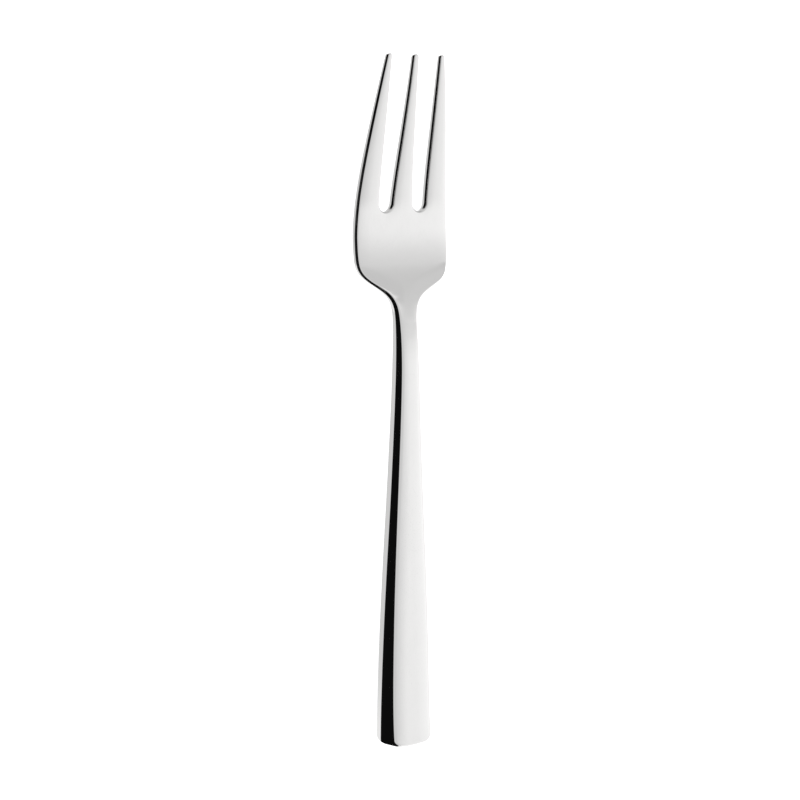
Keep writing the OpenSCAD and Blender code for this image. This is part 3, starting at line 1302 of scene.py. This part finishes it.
@dataclass(frozen=True)
class PolishedSteel:
    """Stainless steel with a mirror polish, the faint marks of use, and a painted shade that darkens
    its tines.

    Attributes:
        clean: Colour without marks.
        dull: Colour of a mark at its full weight, and of the painted shade on the tines.
        roughness: Roughness without marks.
        line_width: Width of a polishing line.
        line_length: Length of a polishing line.
        scratch_angles: Angles of the sets of scratches, in radians.
        scratch_width: Width of a scratch.
        scratch_length: Length of a scratch.
        scratch_share: How many scratches there are. The higher, the more.
        smudge_size: Size of a smudge.
        smudge_share: How many smudges there are. The higher, the more.
        foot_height: Height above the table up to which the foot is rubbed.
        ripple_size: Size of the faint waves that polishing leaves.
        ripple_share: How many waves there are. The higher, the more.
        dulled_from: y past which the tines get a painted shade, a darker colour.
        dulled_run: Length over which they do.
        relief_unit: Height that a weight of 1 in the relief stands for.
        rim_calm_share: Share of relief and scratches that the rounded edges go without.
        dulling: How far each mark, and the painted shade on the tines, takes the colour from clean
            to dull.
        roughening: What each mark adds to the roughness.
        relief: How far each mark stands out, or lies in where it is below 0.
    """

    clean: tuple[float, float, float, float] = (0.935, 0.93, 0.925, 1.0)
    dull: tuple[float, float, float, float] = (0.86, 0.855, 0.85, 1.0)
    roughness: float = 0.03
    line_width: float = 0.13 * MM
    line_length: float = 16 * MM
    scratch_angles: tuple[float, float, float] = (0.25, -0.5, 1.2)
    scratch_width: float = 0.06 * MM
    scratch_length: float = 4 * MM
    scratch_share: float = 0.26
    smudge_size: float = 8 * MM
    smudge_share: float = 0.45
    foot_height: float = 0.35 * MM
    ripple_size: float = 5 * MM
    ripple_share: float = 0.5
    dulled_from: float = 41.5 * MM
    dulled_run: float = 4 * MM
    relief_unit: float = 0.001 * MM
    rim_calm_share: float = 0.85
    # The weight of tines is painted shade: it darkens the tines' colour.
    dulling: Weights = Weights(smudges=0.1, scratches=0.2, foot=0.3, tines=0.85)
    roughening: Weights = Weights(
        lines=0.01, smudges=0.02, scratches=0.08, foot=0.12, rim=-0.015
    )
    relief: Weights = Weights(lines=0.5, scratches=-0.5, ripples=3.0)

    def marks(self, wiring: Wiring, rim: Wire, firm: Wire) -> dict[str, bpy.types.NodeSocket]:
        """Lays the marks of polishing and use, and the mask of the painted shade on the tines.

        Args:
            wiring: The material's wiring.
            rim: Mask of the rounded edges and the walls.
            firm: How much of a scratch is left, less on the rounded edges.

        Returns:
            The mask of each mark, by the name that its weight has.
        """
        at = wiring.place("ShaderNodeTexCoord").outputs["Object"]
        lines = Effect.POLISH_LINES.laid(
            wiring, at, Width=self.line_width, Length=self.line_length
        )
        scratches: Wire = 0.0
        for angle in self.scratch_angles:
            scratch = Effect.SCRATCHES.laid(
                wiring,
                at,
                Angle=angle,
                Width=self.scratch_width,
                Length=self.scratch_length,
                Share=self.scratch_share,
            )
            scratches = wiring.either(scratches, scratch)
        low = Effect.RUBBED_FOOT.laid(wiring, at, Height=self.foot_height)
        smudge = {"Size": self.smudge_size, "Share": self.smudge_share}
        ripple = {"Size": self.ripple_size, "Share": self.ripple_share}
        tine_shade = {"Start": self.dulled_from, "Run": self.dulled_run}
        return {
            "lines": lines,
            "smudges": Effect.SMUDGES.laid(wiring, at, **smudge),
            "scratches": wiring.both(scratches, firm),
            "foot": wiring.both(low, lines),
            # The tines' mask is painted shade: it darkens their colour.
            "tines": Effect.TINE_SHADE.laid(wiring, at, **tine_shade),
            "ripples": Effect.SMUDGES.laid(wiring, at, **ripple),
            "rim": rim,
        }

    def material(self) -> bpy.types.Material:
        """Returns the material of the fork."""
        steel = bpy.data.materials.new("polished_steel")
        steel.use_nodes = True
        wiring = Wiring(steel.node_tree)
        rim = wiring.place("ShaderNodeAttribute", attribute_name=RIM).outputs["Fac"]
        firm = wiring.weighted(1.0, (-self.rim_calm_share, rim))
        masks = self.marks(wiring, rim, firm)

        def counted(start: float, weights: Weights) -> bpy.types.NodeSocket:
            """Adds the marks that have a weight to a starting value."""
            parts = [(weight, masks[name]) for name, weight in asdict(weights).items() if weight]
            return wiring.weighted(start, *parts)

        shader = steel.node_tree.nodes["Principled BSDF"].inputs
        shader["Metallic"].default_value = 1.0
        # The colour goes dull with the marks of use and darker with the painted shade on the tines.
        tints = {"Factor": counted(0.0, self.dulling), "A": self.clean, "B": self.dull}
        colour = wiring.place("ShaderNodeMix", tints, data_type="RGBA")
        wiring.join(colour.outputs["Result"], shader["Base Color"])
        wiring.join(counted(self.roughness, self.roughening), shader["Roughness"])
        height = counted(0.0, self.relief)
        inputs = {"Height": height, "Distance": self.relief_unit, "Strength": firm}
        wiring.join(wiring.place("ShaderNodeBump", inputs).outputs["Normal"], shader["Normal"])
        return steel


@dataclass(frozen=True)
class PhotoCamera:
    """The camera of the photograph, as fitted to the fork's measured edges.

    Attributes:
        roll: Angle by which it looks from the left, round the fork's long axis.
        pitch: Angle by which it looks from the tips' side, where it is below 0.
        turn: Angle by which it is turned round its own line of sight.
        target: Point that it looks at.
        distance: Distance from there.
        focal_pixels: Focal length in pixels of the picture.
        picture_pixels: Side of the square picture in pixels.
        sensor: Width of the sensor in millimetres.
        clip_ratio: How much nearer and farther than the target it still sees.
    """

    roll: float = math.radians(38)
    pitch: float = math.radians(-7.403)
    turn: float = math.radians(-0.437)
    target: tuple[float, float, float] = (1.185 * MM, 0.925 * MM, 0.0)
    distance: float = 449 * MM
    focal_pixels: float = 2064
    picture_pixels: float = 800
    sensor: float = 36
    clip_ratio: float = 100

    def axes(self) -> Matrix:
        """Returns the camera's right, up and back, as the columns of a turn."""
        back = Vector(
            (
                -math.sin(self.roll) * math.cos(self.pitch),
                -math.sin(self.pitch),
                math.cos(self.roll) * math.cos(self.pitch),
            )
        )
        right = Vector((math.cos(self.roll), 0.0, math.sin(self.roll)))
        up = back.cross(right)
        turned_right = right * math.cos(self.turn) - up * math.sin(self.turn)
        turned_up = right * math.sin(self.turn) + up * math.cos(self.turn)
        return Matrix((turned_right, turned_up, back)).transposed()

    def place(self) -> bpy.types.Object:
        """Puts the camera up and makes it the scene's own.

        Returns:
            The camera.
        """
        data = bpy.data.cameras.new("camera")
        data.sensor_fit = "HORIZONTAL"
        data.sensor_width = self.sensor
        data.lens = self.focal_pixels / self.picture_pixels * self.sensor
        data.clip_start = self.distance / self.clip_ratio
        data.clip_end = self.distance * self.clip_ratio
        axes = self.axes()
        spot = Vector(self.target) + axes.col[2] * self.distance
        camera = bpy.data.objects.new("camera", data)
        camera.matrix_world = Matrix.Translation(spot) @ axes.to_4x4()
        bpy.context.scene.collection.objects.link(camera)
        bpy.context.scene.camera = camera
        return camera


@dataclass(frozen=True)
class Studio:
    """The pale table, and the soft boxes, cards and far wall that the steel mirrors.

    The surroundings are told apart by the direction (x, y, z) in which the steel mirrors
    them. A span says between which two values of x, y or z one of them gives way to another.

    Attributes:
        table_size: Side of the square table.
        table_tone: Tone of the table.
        table_glow: How much the table shines by itself, which keeps it white.
        horizon: z over which the cards give way to the soft boxes above.
        box_tones: Tones of the soft boxes by x, brighter to the right.
        far_tones: Tones of the far wall, left and right of its turn.
        far_turn: x over which the far wall turns from one tone to the other.
        far_edge: y over which the boxes give way to the far wall.
        far_right_edge: y over which they already do so at the right.
        far_right_side: x past which that holds.
        black_tone: Tone of the black card at the left.
        white_tone: Tone of the white card at the right.
        card_side: x over which the black card gives way to the white one.
        near_card_side: x over which it does so near the viewer.
        near_edge: y past which card_side holds, and not near_card_side.
        right_far_edge: y over which the white card gives way to the far wall.
        card_end: y over which the black card ends.
        far_top_edge: y past which the black card is cut off above.
        far_top: z over which it is cut off there.
        foot_tone: Tone below the cards.
        near_foot_tone: Tone below the cards near the viewer.
        near_light: y over which that tone gives way to foot_tone.
        card_foot: z over which the cards start.
        far_foot: z over which they start far off, at the right.
        far_foot_edge: y past which that holds.
        far_foot_side: x past which that holds.
    """

    table_size: float = 3.0
    table_tone: float = 0.9
    table_glow: float = 0.8
    horizon: Span = (0.48, 0.62)
    box_tones: tuple[Span, ...] = (
        (0.0, 0.62),
        (0.48, 0.655),
        (0.53, 0.745),
        (0.57, 0.825),
        (0.61, 0.905),
        (0.66, 0.945),
        (0.69, 0.985),
        (0.73, 1.1),
    )
    far_tones: Span = (0.622, 0.584)
    far_turn: Span = (0.5, 0.7)
    far_edge: Span = (-0.05, 0.225)
    far_right_edge: Span = (0.08, 0.17)
    far_right_side: Span = (0.63, 0.7)
    black_tone: float = 0.004
    white_tone: float = 0.92
    card_side: Span = (0.46, 0.5)
    near_card_side: Span = (0.1, 0.25)
    near_edge: Span = (-0.85, -0.7)
    right_far_edge: Span = (0.1, 0.26)
    card_end: Span = (0.8, 0.92)
    far_top_edge: Span = (0.4, 0.6)
    far_top: Span = (0.1, 0.35)
    foot_tone: float = 0.64
    near_foot_tone: float = 0.86
    near_light: Span = (-0.29, -0.22)
    card_foot: Span = (-0.81, -0.8)
    far_foot: Span = (-0.77, -0.62)
    far_foot_edge: Span = (0.15, 0.25)
    far_foot_side: Span = (-0.3, 0.2)

    def surroundings(self) -> bpy.types.World:
        """Returns the world that the steel mirrors, white to everything else."""
        world = bpy.data.worlds.new("studio")
        world.use_nodes = True
        wiring = Wiring(world.node_tree)
        axes = wiring.split(wiring.place("ShaderNodeTexCoord").outputs["Generated"])
        x, y, z = axes["X"], axes["Y"], axes["Z"]
        both, past = wiring.both, wiring.past

        far = wiring.band(x, self.far_turn, *self.far_tones)
        high = wiring.blend(past(y, self.far_edge), wiring.ramp(x, self.box_tones), far)
        far_right = both(past(x, self.far_right_side), past(y, self.far_right_edge))
        high = wiring.blend(far_right, high, far)

        sides = past(x, self.near_card_side), past(x, self.card_side)
        white = wiring.blend(past(y, self.near_edge), *sides)
        white = wiring.either(white, both(past(y, self.far_top_edge), past(z, self.far_top)))
        white = wiring.either(white, past(y, self.card_end))
        right = wiring.band(y, self.right_far_edge, self.white_tone, far)
        cards = wiring.blend(white, self.black_tone, right)

        foot = wiring.band(y, self.near_light, self.near_foot_tone, self.foot_tone)
        low = wiring.blend(past(z, self.card_foot), foot, cards)
        far_foot = both(past(y, self.far_foot_edge), past(x, self.far_foot_side))
        far_foot = both(far_foot, wiring.before(z, self.far_foot))
        low = wiring.blend(far_foot, low, self.foot_tone)

        seen = wiring.blend(past(z, self.horizon), low, high)
        mirrored = wiring.place("ShaderNodeLightPath").outputs["Is Glossy Ray"]
        background = world.node_tree.nodes["Background"]
        wiring.join(wiring.blend(mirrored, 1.0, seen), background.inputs["Color"])
        return world

    def table(self) -> bpy.types.Object:
        """Returns the table, which the steel doesn't mirror."""
        pale = bpy.data.materials.new("pale_table")
        pale.use_nodes = True
        shader = pale.node_tree.nodes["Principled BSDF"].inputs
        shader["Base Color"].default_value = grey(self.table_tone)
        shader["Roughness"].default_value = 1.0
        shader["Specular IOR Level"].default_value = 0.0
        shader["Emission Color"].default_value = grey(1.0)
        shader["Emission Strength"].default_value = self.table_glow
        mesh = bmesh.new()
        bmesh.ops.create_grid(mesh, x_segments=1, y_segments=1, size=self.table_size / 2)
        table = set_down("table", mesh, pale)
        table.visible_glossy = False
        return table

    def build(self) -> None:
        """Sets the table and the light."""
        scene = bpy.context.scene
        scene.view_settings.view_transform = "Standard"
        scene.view_settings.look = "None"
        scene.world = self.surroundings()
        self.table()


def main() -> None:
    """Builds the fork, the camera and the studio, in that order."""
    logging.basicConfig(level=logging.INFO, format="%(name)s: %(message)s")
    forged = Fork(PolishedSteel()).forge()
    log.info("%s: %d faces", forged.name, len(forged.data.polygons))
    PhotoCamera().place()
    Studio().build()


if __name__ == "__main__":
    main()
